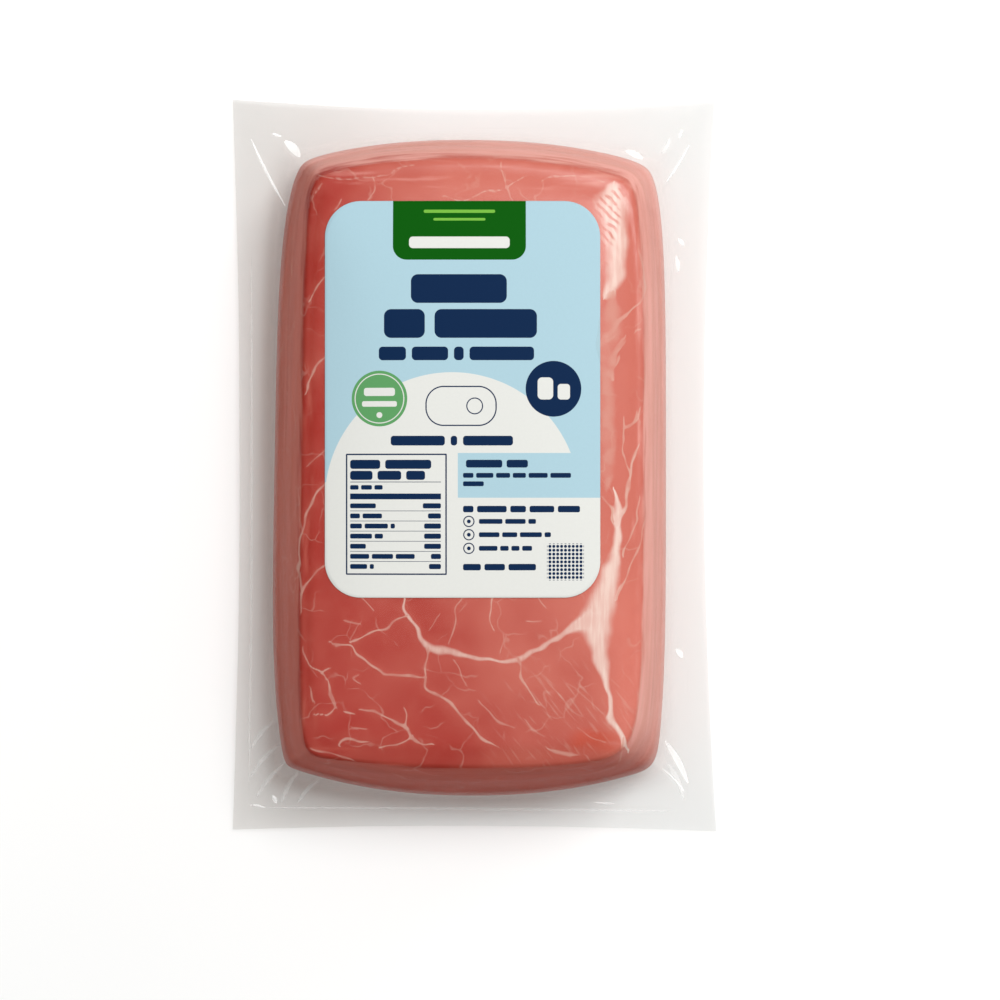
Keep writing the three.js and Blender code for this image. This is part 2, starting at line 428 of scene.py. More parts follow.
# Uneven grain that meat, film and label share at their own scales: two noises of different
# size added together, and a bumped normal from their sum
def makeGrainGroup():
    group, given = newGroup("unevenGrain", {"Place": (0, 0, 0), "Size": 1.0, "Height": 0.1})
    scale = 1.0 / given["Size"]
    coarse = addNode("TexNoise", {"Vector": given["Place"], "Scale": scale, "Detail": 2.0})
    fine = addNode("TexNoise", {"Vector": given["Place"], "Scale": scale * 4.3, "Detail": 1.0})
    both = coarse * 0.7 + fine * 0.3
    bump = addNode("Bump", {"Strength": 1.0, "Distance": 1.0, "Height": both * (given["Height"] * mm)})
    return finishGroup(group, {"Grain": both, "Normal": bump})


grainGroup = makeGrainGroup()


# The grain's value and its normal
def grainOf(place, size, height):
    given = {"Place": place, "Size": size, "Height": height}
    grain = addNode("Group", given, "Grain", node_tree=grainGroup)
    return grain, Value(grain.socket.node.outputs["Normal"])


# The meat

lightSide = np.array([0.75, 0.66])  # the way that most light comes from, across the part
meatLook = {
    "gap": 0.2,  # inside the film's surface
    "noseReach": 1.3,  # of the thin lip between the films
    "cells": (140, 250),
    "ringSpacing": 1.35,
    "underRings": (0.66, 0.33),
    "swells": ((0.05, 26, 1), (0.04, 9, 2)),  # height, length and seed
    "seamSwell": 0.12,
    "swellMiddle": 0.06,
    "swellRange": (-0.3, -0.02),
    "seamLayers": 8,
    "thinnestSeam": 0.6,
    "seamWander": 0.45,
    # deep to pale: the lean's tones from the lower left to the upper right, partly its own and partly
    # painted light and sheen
    "deep": (0.40, 0.035, 0.025, 1),
    "lean": (0.53, 0.110, 0.082, 1),
    "pale": (0.61, 0.163, 0.121, 1),
    "fat": (0.74, 0.50, 0.41, 1),
    "wideFat": (0.85, 0.64, 0.56, 1),
    # Painted light and shade on the sides: a lit tone, a shaded tone, and a deeper painted shade low down
    "paintedLitSide": (0.88, 0.43, 0.37, 1),  # painted light: paler and pinker where the side faces the light, to the right and the top
    "paintedShadedSide": (0.62, 0.175, 0.128, 1),
    "paintedLowShade": (0.49, 0.10, 0.07, 1),
    "bright": (0.74, 0.215, 0.162, 1),  # the strip beside the lower right edge
    "redSpot": (0.60, 0.085, 0.045, 1),
    "redSpotPlace": (37.5, -85.5),
    "redSpotHalves": (10, 5),
    # Painted shade at the face's rim away from the light; the same tone also darkens the side's streaks
    "rimShade": (0.85, 0.79, 0.74, 1),
    "roughness": 0.45,
}

# The fat seams that show on the top face, as (width, strength, route). A route's points are
# places on the part, and a third number there is the seam's own width.
fatSeams = {
    "arch": (1.6, 0.72, [(-21.6, -38, 0.94), (-21.2, -45, 1.1), (-16.7, -52.3, 1.4), (-13.9, -56, 2.6),
        (-8.1, -57.8, 2.4), (0.3, -59.7, 1.4), (8.6, -60.9, 1.3), (13.9, -60.8, 2.4), (19.1, -57.6, 1.8),
        (24.4, -54.5, 1.9), (29.4, -51.4, 2.6), (33.5, -49.2, 4.4), (38, -47.5, 7)]),
    "archLeft": (0.79, 0.54, [(-20.9, -47), (-25, -48.6), (-27, -50.7), (-31.5, -52.4), (-35.2, -54.1),
        (-38, -55)]),
    "archDown": (0.92, 0.57, [(-13.9, -57), (-14.8, -62.5), (-15.1, -67), (-14, -70), (-8.7, -72.9, 1.4),
        (-2.8, -79.1), (1.5, -83.8, 1.3), (8, -88.7, 0.58)]),
    "archOut": (0.79, 0.48, [(13.6, -60.8), (14.8, -65.8), (17.3, -69.6), (20.4, -74.5)]),
    "lowLeftRun": (0.73, 0.54, [(-44.2, -55), (-42, -56.2), (-38, -56), (-35.5, -59.4), (-29.7, -62.8),
        (-26.6, -65.2), (-20.7, -65.7, 1.2), (-15.4, -66)]),
    "farLeft": (0.66, 0.54, [(-52.2, -57.5), (-50.7, -62.1), (-47.3, -64.6), (-45.4, -68),
        (-42.6, -75.4, 1)]),
    "farLeftToe": (0.9, 0.5, [(-44.0, -71.8), (-42.6, -75.2), (-40.6, -76.6), (-37.4, -77.3)]),
    "farLeftSpur": (0.53, 0.48, [(-47.3, -64.6), (-45, -63.2)]),
    "farLeftFoot": (0.53, 0.48, [(-49.1, -77.9), (-45, -78), (-42.4, -75.8)]),
    "lowRun": (0.79, 0.54, [(-35.5, -75.7), (-30.6, -76), (-27.2, -78.5), (-21, -81.6, 1.3),
        (-19.2, -84.4, 1.1), (-15.8, -86.5), (-12.1, -87.1)]),
    "lowRunLeft": (0.59, 0.48, [(-19.2, -84.4), (-22.9, -86.8), (-29.4, -88.1)]),
    "lowRunUp": (0.53, 0.42, [(-20.9, -81.4), (-20.6, -78), (-21, -75.5)]),
    "lowDash": (0.53, 0.3, [(-38, -81.9), (-32.8, -82.2)]),
    "bottomLeft": (0.73, 0.48, [(-42, -87.5), (-39.9, -85.5, 1.2), (-35.5, -86.2), (-31.5, -86.8)]),
    "leftStreak": (0.53, 0.36, [(-50.7, -69.6), (-49.4, -74)]),
    "smallHook": (0.53, 0.42, [(-35.8, -64.9), (-36.8, -66.5), (-35.2, -68)]),
    "underLabelLeft": (0.59, 0.36, [(-34.5, -41.5), (-30.6, -44.9)]),
    "leftDash": (0.53, 0.36, [(-39.2, -48.6), (-35.8, -49.2)]),
    "inArchA": (0.53, 0.27, [(-10.5, -46.7), (-13.9, -50.7)]),
    "inArchB": (0.59, 0.36, [(-3.4, -41), (-5.6, -45.2), (-5.3, -50.5), (-7.7, -55.7)]),
    "inArchC": (0.59, 0.54, [(6.2, -41), (4.9, -46.4), (6.5, -51)]),
    "inArchD": (0.53, 0.36, [(20, -41), (21.8, -44.6)]),
    "inArchE": (0.53, 0.36, [(16.2, -48.9), (21.2, -49.3)]),
    "inArchF": (0.53, 0.3, [(9.4, -52.6), (8.6, -58)]),
    "belowArch": (0.59, 0.36, [(-5.9, -61), (-2, -67.8)]),
    "grainA": (0.46, 0.27, [(29.3, -68), (33.9, -72), (39.5, -76.7)]),
    "grainB": (0.46, 0.27, [(26.8, -71.5), (29.6, -74.8), (33.8, -77.5)]),
    "grainC": (0.46, 0.3, [(32.2, -82), (36.7, -84.7), (40.3, -86)]),
    "grainD": (0.53, 0.3, [(15.8, -79.2), (18.8, -82.2), (21.8, -84)]),
    "grainE": (0.53, 0.3, [(1.6, -73.7), (6.8, -78.8), (12.5, -82)]),
    "paleSpot": (1.7, 0.36, [(22.5, -88.0, 0.8), (26.5, -89.2), (31.5, -90.4)]),
    "rimLine": (0.8, 0.35, [(-50.2, -88.0), (-44.5, -89.7), (-39.7, -91.1), (-36.9, -92.4)]),
    "rightBand": (3, 0.95, [(43.9, -8.2, 1.6), (44.5, -14.9, 3.2), (44.8, -19.9, 2.7), (44.5, -24.8, 3),
        (43.4, -29.8, 4.9), (42.4, -34.4, 6.7), (41, -40, 8.4), (39.6, -44.6, 9.8), (38.7, -48.4, 10.4),
        (38.5, -52.7, 9.4), (38.9, -56.7, 7.4), (39.6, -60.1, 5.2), (40.3, -63.6, 3.8), (41.5, -69.5, 2),
        (42.5, -75.9, 1.8), (42.9, -78.9, 3.6), (44.2, -81.6, 2.4), (45.8, -84.4, 2.4),
        (48.6, -89.8, 2.2)]),
    "rightBandFan": (0.59, 0.42, [(46.2, -85), (46.6, -89), (45.9, -92.5)]),
    "rightRise": (1.3, 0.66, [(44.9, -19, 1.6), (47, -13.1, 1.5), (47.9, -8.1), (48.9, -1.9, 1.2),
        (49.9, 1.5, 1), (51.2, 6, 0.8)]),
    "rightForkLeft": (0.59, 0.42, [(48.3, -3), (46.6, 5.5), (46.9, 14.7)]),
    "rightHook": (0.7, 0.45, [(52, 17), (50.5, 13.2), (47.9, 11.9)]),
    "rightTwig": (0.53, 0.36, [(47, 11.4), (49.7, 12.3), (50.9, 16)]),
    "rightSide": (0.59, 0.42, [(40.1, -10.6), (42.3, -14.3), (43.8, -18)]),
    "rightThinA": (0.59, 0.42, [(51.8, -10.6), (50.9, -16.8), (48.7, -22.6), (46.5, -28.5)]),
    "rightThinB": (0.66, 0.42, [(53.4, -15.8), (51.8, -24.8), (49.7, -29.7), (46.9, -36.5), (44.5, -42)]),
    "upperRight": (0.79, 0.45, [(51.8, 66.3), (53.4, 58.9), (52.8, 52.1), (48.7, 47.1), (45, 44.1),
        (38, 35)]),
    "leftA": (0.59, 0.45, [(-44.5, 59.5), (-46, 57.3), (-51.2, 50.5)]),
    "leftB": (0.92, 0.51, [(-44.5, 35.2), (-46.3, 32.9), (-48.8, 29.9), (-51.9, 22)]),
    "leftC": (0.99, 0.54, [(-44, -3), (-46.3, -6.3), (-49.4, -11.2), (-52.5, -18), (-54.1, -26),
        (-54.7, -31.6), (-53.4, -38.1), (-53.9, -46)]),
    "leftD": (0.66, 0.48, [(-43, -29), (-46, -31.3), (-50.3, -34.7), (-53.4, -40.5)]),
    "leftE": (0.53, 0.3, [(-45.5, 4.5), (-51.5, -0.6)]),
    "topLong": (0.75, 0.3, [(-48.5, 90), (-41.1, 88.6), (-31.2, 88.8), (-24.4, 91), (-18.2, 93.1)]),
    "topLongDown": (0.53, 0.36, [(-31.2, 88.8), (-30, 85.7), (-32.4, 82)]),
    "starUp": (0.53, 0.42, [(10.2, 85.7), (9.5, 89.5), (8.8, 93.6)]),
    "starLeft": (0.66, 0.45, [(10.2, 85.7, 1), (4, 84.3), (-2.8, 82), (-9.5, 82.8)]),
    "starRight": (0.53, 0.42, [(10.2, 85.7), (16.2, 89)]),
    "starDown": (0.59, 0.42, [(10.2, 85.7), (12.5, 81.8)]),
    "shoulderCap": (6, 0.92, [(43.4, 85.6, 10), (43.0, 81.7, 12), (43.4, 77, 11), (44.0, 71.8, 8.8),
        (44.4, 66.2, 7.6), (44.5, 61.6, 7.4), (43.6, 56.9, 5.8), (41, 52, 4)]),
    "belowCap": (6, 0.3, [(43, 52, 6), (43, 42, 7), (41.5, 34, 6), (41.6, 20, 5), (41.8, 5, 5.5),
        (41.5, -8, 4)]),
    "belowCapRight": (0.8, 0.5, [(46.5, 39), (44.5, 36), (42.8, 30, 1.6), (43.4, 26)]),
    "crossB": (0.7, 0.5, [(39.6, 36.8), (41.1, 37.7), (43.3, 39.6)]),
    "crossC": (0.8, 0.5, [(42.7, 33.1), (44.5, 34.6), (46.4, 37.4)]),
    "crossD": (0.8, 0.45, [(49.8, 40.5), (50.7, 41.3), (52, 41.6)]),
    "crossE": (0.6, 0.4, [(42, 27.5), (44.4, 30.4), (45.2, 33)]),
    "leftDashA": (0.7, 0.45, [(-50, 81.7), (-47, 86.6)]),
    "leftDashB": (0.7, 0.4, [(-43.5, 78.6), (-41, 82.2)]),
    "topRight": (0.53, 0.36, [(21.5, 88.2), (23.4, 89.1), (32.4, 89.3), (40.5, 88)]),
}


# The upper profile from the face's grid to the lip, as station rings
def upperStations(x, y):
    face = [facePoints(x, y, share) for share in (patchShare, *faceStations)]
    return face + [upperRing(x, y, *station) for station in upperSide]


# The top face out to the patch share, as a grid of points
def facePatch(x, y):
    share, edgeX, edgeY = outward(x, y)
    return facePoints(edgeX, edgeY, share * patchShare)


# The top face, the rings round it, and rings that shrink on the flat underside, as one surface
def closedBody(x, y, loop, rings):
    middle = np.array([*loin["centre"], 0.0])
    under = [middle + (rings[-1] - middle) * share for share in meatLook["underRings"]]
    return closedSurface(facePatch(x, y), loop, np.concatenate([rings, under]), middle)


# A smooth route through points: a Catmull-Rom curve, sampled about every step, with the width
# eased along with the place and drawn in to a half at both ends
def smoothRoute(width, route, step=0.7):
    points = np.array([point if len(point) == 3 else (*point, width) for point in route], dtype=float)
    padded = np.vstack([2 * points[0] - points[1], points, 2 * points[-1] - points[-2]])
    samples = []
    for k in range(1, len(padded) - 2):
        before, start, end, after = padded[k - 1:k + 3]
        count = max(2, int(np.hypot(*(end - start)[:2]) / step))
        t = np.arange(count)[:, None] / count
        squared, cubed = 2 * before - 5 * start + 4 * end - after, 3 * start - before - 3 * end + after
        samples.append(0.5 * (2 * start + (end - before) * t + squared * t ** 2 + cubed * t ** 3))
    samples = np.vstack([*samples, points[-1:]])
    t = np.linspace(0, 1, len(samples))
    samples[:, 2] *= 0.5 + 0.5 * smoothStep(t, 0, 0.1) * smoothStep(t, 1, 0.9)
    return samples


# How far each point lies from a route, in half widths of the route there, first with a sign for
# the side that it lies on, the cross product of the nearest stretch and the way to the point,
# then plain. Beyond a wide route's ends the plain distance grows faster, so that the place
# where the sign turns draws no spike there.
def routeDistance(x, y, samples, wobble):
    starts, spans = samples[:-1, :2], np.diff(samples[:, :2], axis=0)
    away = np.stack([x, y], axis=-1)[:, None] - starts
    share = np.clip((away * spans).sum(axis=2) / (spans ** 2).sum(axis=1), 0, 1)
    gap = away - share[..., None] * spans
    distance = np.hypot(gap[..., 0], gap[..., 1])
    nearest = distance.argmin(axis=1)
    rows = np.arange(len(x))
    share = share[rows, nearest]
    widths = samples[nearest, 2] * (1 - share) + samples[nearest + 1, 2] * share
    widths = np.maximum(widths, meatLook["thinnestSeam"])
    side = np.sign(spans[nearest, 0] * away[rows, nearest, 1] - spans[nearest, 1] * away[rows, nearest, 0])
    uneven = 0.28 * wobble / np.maximum(widths, 1)
    plain = distance[rows, nearest] / (widths / 2) * (1 + uneven)
    beyond = ((nearest == 0) & (share == 0)) | ((nearest == len(spans) - 1) & (share == 1))
    return np.where(side == 0, 1, side) * plain, plain * (1 + 1.6 * beyond * smoothStep(widths, 1, 3))


# The seams as layers of three numbers for each point: the signed distance, the plain distance
# and the strength. A seam goes in the first layer where no other seam comes near it.
def seamLayers(points):
    reach, far = 3.5, 9.0
    layers = [np.tile([far, far, 0.0], (len(points), 1)) for _ in range(meatLook["seamLayers"])]
    upper = points[:, 2] > loin["lipTop"]
    wander = meatLook["seamWander"] * np.stack([waves(points, 7, 21), waves(points, 7, 22)], axis=-1)
    flat = points[:, :2] + wander
    for width, strength, route in fatSeams.values():
        samples = smoothRoute(width, route)
        margin = samples[:, 2].max() / 2 * far
        low, high = samples[:, :2].min(axis=0) - margin, samples[:, :2].max(axis=0) + margin
        near = np.nonzero(upper & (flat > low).all(axis=1) & (flat < high).all(axis=1))[0]
        distance, plain = routeDistance(flat[near, 0], flat[near, 1], samples, waves(points[near], 4, 23))
        close = near[plain < reach]
        free = [layer for layer in layers if not (layer[close, 1] < reach).any()]
        layer = free[0] if free else layers[-1]
        closer = plain < layer[near, 1]
        values = np.stack([distance, plain, np.full(len(near), strength)], axis=-1)
        layer[near[closer]] = values[closer]
    return layers


def makeMeatMaterial():
    material, tree = newMaterial("meat")
    place = placeInMm(tree)
    x, y, _ = separated(place)

    # The flank begins in a ragged line of streaks, which run along X at the pack's ends
    alongX = noiseOf(place * (0.05, 0.3, 0.3), offset=77)
    alongY = noiseOf(place * (0.3, 0.05, 0.3), offset=78)
    ragged = (mixNumbers(attribute(tree, "acrossEnds"), alongY, alongX) - 0.5) * 2.2
    flank = easedMask(attribute(tree, "flank") + ragged, 0.0, 1.0)

    # Each seam is a bell over the distance in half widths, a half at 1. The bells are summed, so
    # that seams fill the corners where they meet, and the sum is cut at about a half.
    edgeNoise = (noiseOf(place, 1.3, detail=1) - 0.5) * 0.3
    total, weighted, halo = 0.0, 0.0, 0.0
    for k in range(meatLook["seamLayers"]):
        signed, plain, strength = separated(attribute(tree, f"seam{k}", "Vector"))
        calmer = 1.0 - easedMask(strength, 0.6, 0.8) * 0.75
        distance = maths("ABSOLUTE", signed) + edgeNoise * calmer
        bell = 0.5 ** (distance * distance) * easedMask(plain, 3.4, 2.0)
        total = bell + total
        weighted = bell * strength + weighted
        halo = maths("MAXIMUM", easedMask(plain, 5.0, 0.8) * strength, halo)
    strength = weighted / maths("MAXIMUM", total, 0.05)
    patchy = easedMask(noiseOf(place, 5, detail=1, offset=63), 0.34, 0.6)
    drawn = easedMask(noiseOf(place * (1.1, 0.1, 0.1), detail=1, offset=9), 0.66, 0.36)
    wide = easedMask(strength, 0.6, 0.8)
    uneven = mixNumbers(wide, patchy * 0.5 + 0.5, drawn * 0.22 + 0.78)
    seam = easedMask(total, 0.4, 1.05) * (strength * uneven)

    # A few red strokes that slant down to the right across the upper left of the pale shoulder
    slant = (x + y) * 2.3 + noiseOf(place, 6, offset=3) * 8.0
    broken = easedMask(noiseOf(place, 4.5, offset=58), 0.42, 0.56)
    within = easedMask(x - (y - 65.0) * 0.3, 43.5, 41.0) * easedMask(y, 58, 64)
    strokes = easedMask(maths("SINE", slant), -0.2, 0.7) * broken * (within * 0.75)
    seam = seam * (1.0 - strokes)

    # Fine marbling: the walls of cells that a noise has pushed out of shape, kept in patches
    push = addNode("TexNoise", {"Vector": place, "Scale": 1 / 9, "Detail": 2.0}, 1) * (10, 10, 10)
    walls = addNode("TexVoronoi", {"Vector": place + push, "Scale": 1 / 13}, feature="DISTANCE_TO_EDGE")
    thin = easedMask(walls, 0.024, 0.004) * easedMask(noiseOf(place, 9, offset=31), 0.44, 0.62)

    # The grain of the muscle: thin streaks that slant down to the right at the lower right
    turned = addNode("Mapping", {"Vector": place, "Rotation": (0, 0, math.radians(52))})
    fibres = easedMask(noiseOf(turned * (0.13, 0.95, 0.1), detail=1, offset=5), 0.58, 0.72)
    fibres = fibres * (easedMask(x, -4, 22) * easedMask(y, -56, -70))

    # The lean meat is deepest at the lower left and paler to the right and the top: partly its own tone,
    # partly painted light and film sheen on the side towards the light
    tone = x * 0.0085 + y * 0.0028 * easedMask(x, -54, -18) + noiseOf(place, 19) * 0.7
    lean = mixColours(easedMask(tone, -0.29, 0.73), meatLook["deep"], meatLook["pale"])
    lowStrip = easedMask(x, 38, 47) * easedMask(y, -25, -50)
    lean = mixColours(lowStrip * 0.5, lean, meatLook["bright"])
    (spotX, spotY), (halfX, halfY) = meatLook["redSpotPlace"], meatLook["redSpotHalves"]
    across, up = (x - spotX) / halfX, (y - spotY) / halfY
    spread = across * across + up * up + noiseOf(place, 5, offset=44)
    lean = mixColours(easedMask(spread, 1.5, 0.3) * 0.75, lean, meatLook["redSpot"])
    mottle = easedMask(noiseOf(place, 4.5, roughness=0.6, offset=11), 0.48, 0.78)
    lean = mixColours(mottle * 0.2, lean, meatLook["lean"])
    lean = mixColours(fibres * 0.17, lean, meatLook["fat"])

    # The side is painted lighter where it faces the light and darker where it faces away and low down,
    # painted light and shade, with long streaks round it: noise that hardly changes along it and fast up
    # it. The face is painted darker towards its rim at the left and below, painted shade where it turns
    # from the light.
    rimShade, lit, low = separated(attribute(tree, "sides", "Vector"))
    paintedDarkSide = mixColours(low, meatLook["paintedShadedSide"], meatLook["paintedLowShade"])
    side = mixColours(lit, paintedDarkSide, meatLook["paintedLitSide"])
    streaks = easedMask(noiseOf(place * (0.03, 0.03, 0.22), roughness=0.55), 0.3, 0.7)
    side = mixColours((1.0 - streaks) * 0.65, side, meatLook["rimShade"], "MULTIPLY")
    # Painted shade: the face's rim darkened where it turns from the light
    lean = mixColours(rimShade, lean, meatLook["rimShade"], "MULTIPLY")
    lean = mixColours(flank * 0.92, lean, side)

    colour = mixColours(halo * 0.22, lean, meatLook["pale"])
    colour = mixColours(thin * 0.17, colour, meatLook["fat"])
    colour = mixColours(seam, colour, mixColours(wide, meatLook["fat"], meatLook["wideFat"]))
    grain, normal = grainOf(place, 4.0, 0.035)
    finishTree(addNode("BsdfPrincipled", {
        "Base Color": colour, "Roughness": grain * 0.2 + (meatLook["roughness"] - 0.1), "Normal": normal,
        "Specular IOR Level": 0.0}))
    return material


def makeMeat():
    x, y, loop, edgeX, edgeY = squareGrid(*meatLook["cells"])
    widest = loin["widestPower"]
    nose = (-meatLook["noseReach"], (loin["lipTop"] + loin["lipBottom"]) / 2, widest)
    lower = (nose, (0, loin["lipBottom"], widest), *lowerSide)
    stations = upperStations(edgeX, edgeY) + [lowerRing(edgeX, edgeY, *station) for station in lower]
    points, faces = closedBody(x, y, loop, ringsThrough(stations, meatLook["ringSpacing"])[1:])
    normals = outwardNormals(points, faces)
    upper = smoothStep(points[:, 2], loin["lipTop"] - 4, loin["lipTop"] + 6)
    layers = seamLayers(points)
    swell = sum(height * waves(points, length, seed) for height, length, seed in meatLook["swells"])
    swell += meatLook["seamSwell"] * sum(np.exp(-layer[:, 1] ** 2) * layer[:, 2] for layer in layers)
    swell = np.clip(swell - meatLook["swellMiddle"], *meatLook["swellRange"])
    offset = swell * upper - meatLook["gap"]
    piece = addPiece("loin", points + normals * offset[:, None], faces, makeMeatMaterial())
    for k, layer in enumerate(layers):
        storeOnPoints(piece, f"seam{k}", layer)

    # Where the flank begins, and the masks of its painted light and shade: the side facing the light, the
    # low side and the rim's painted shade
    x, y, z = points.T
    nearTop = smoothStep(y, 60, 92)
    flankTop = 55.6 + 2 * smoothStep(x, 25, 55) * nearTop
    away = normals / np.maximum(np.hypot(normals[:, 0], normals[:, 1]), 1e-6)[:, None]
    lowerRight = smoothStep(x, 35, 55) * smoothStep(y, -78, -98)
    lit = smoothStep(away[:, :2] @ lightSide, -0.5, 0.5) * (1 - 0.7 * lowerRight)
    low = np.maximum(smoothStep(-away[:, 1], 0.3, 0.9), 0.5 * smoothStep(y, -10, -75))
    storeOnPoints(piece, "flank", np.clip((flankTop - z) / (4 + 6 * nearTop), -1, 2))
    storeOnPoints(piece, "acrossEnds", smoothStep(np.abs(away[:, 1]), 0.4, 0.8))
    storeOnPoints(piece, "sides", np.stack([smoothStep(z, 56.8, 55.4) * (1 - lit), lit, low], axis=-1))
    return piece


meat = makeMeat()
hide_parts("pouch")
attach(meat, "root")
print("meat:", len(meat.data.polygons), "faces")

# The label

labelLook = {
    "width": 85.2,
    "length": 122.7,
    "centre": (-3.3, 20.0),
    "cornerRadius": 11.2,
    "thickness": 0.14,
    "gap": 0.1,
    "bevel": 0.05,
    "cells": (90, 130),
    "blue": (0.362, 0.53, 0.60, 1),
    "pale": (0.658, 0.663, 0.632, 1),
    "navy": (0.003, 0.018, 0.062, 1),
    "green": (0.0015, 0.085, 0.0015, 1),
    "leafGreen": (0.10, 0.30, 0.11, 1),
    "brightGreen": (0.16, 0.42, 0.05, 1),
    "roughness": 0.6,
}


# A rounded rectangle's outline in the direction of (x, y) on the square's edge. Where the
# point lies past both straight edges it is drawn in to the corner's arc.
def labelOutline(x, y, inset=0.0):
    half = np.array([labelLook["width"] / 2 - inset, labelLook["length"] / 2 - inset])
    radius = labelLook["cornerRadius"] - inset
    place = np.stack([np.abs(x) * half[0], np.abs(y) * half[1]], axis=-1)
    past = place - (half - radius)
    inCorner = (past > 0).all(axis=-1, keepdims=True)
    length = np.maximum(np.linalg.norm(past, axis=-1, keepdims=True), 1e-9)
    place = np.where(inCorner, half - radius + past / length * radius, place)
    return place * np.stack([np.sign(x), np.sign(y)], axis=-1)


# The label's sheet, draped on the top face at a lift above it
def drape(flat, lift):
    placed = flat + np.array(labelLook["centre"])
    return np.concatenate([placed, (topHeight(placed[..., 0], placed[..., 1]) + lift)[..., None]], axis=-1)


# Node group: 1 inside a box with round corners and 0 outside it. The distance is how far the
# place lies past the box shrunk by its corner radius, less that radius.
def makeBoxGroup():
    group, given = newGroup("roundedBox", {"Place": (0, 0, 0), "Centre": (0, 0, 0), "Core": (1, 1, 1000),
                                           "Radius": 0.2})
    away = maths("ABSOLUTE", given["Place"] - given["Centre"])
    past = maths("MAXIMUM", away - given["Core"], (0, 0, 0))
    return finishGroup(group, {"Inside": easedMask(maths("LENGTH", past) - given["Radius"], 0.05, -0.05)})


boxGroup = makeBoxGroup()


def boxMask(place, left, right, bottom, top, radius=0.2):
    core = ((right - left) / 2 - radius, (top - bottom) / 2 - radius, 1000)
    centre = ((left + right) / 2, (bottom + top) / 2, 0)
    given = {"Place": place, "Centre": centre, "Core": core, "Radius": radius}
    return addNode("Group", given, "Inside", node_tree=boxGroup)


# A line of a given thickness along the inside of a box
def frameMask(place, left, right, bottom, top, radius, line):
    outer = boxMask(place, left, right, bottom, top, radius)
    inner = boxMask(place, left + line, right - line, bottom + line, top - line, max(radius - line, 0.05))
    return maths("SUBTRACT", outer, inner, use_clamp=True)


# A row of plain bars that stands for a line of print: seeded lengths of a few heights each,
# with even gaps, from left to right
def printRow(place, left, right, middle, height, seed):
    draw = np.random.default_rng(seed)
    bottom, top = middle - height / 2, middle + height / 2
    bars, start = [], left
    while start < right - 0.5 * height:
        end = min(start + height * draw.uniform(1.6, 5.0), right)
        if right - end < 1.2 * height:
            end = right
        bars.append(boxMask(place, start, end, bottom, top, 0.3 * height))
        start = end + 0.55 * height
    return strongest(bars)


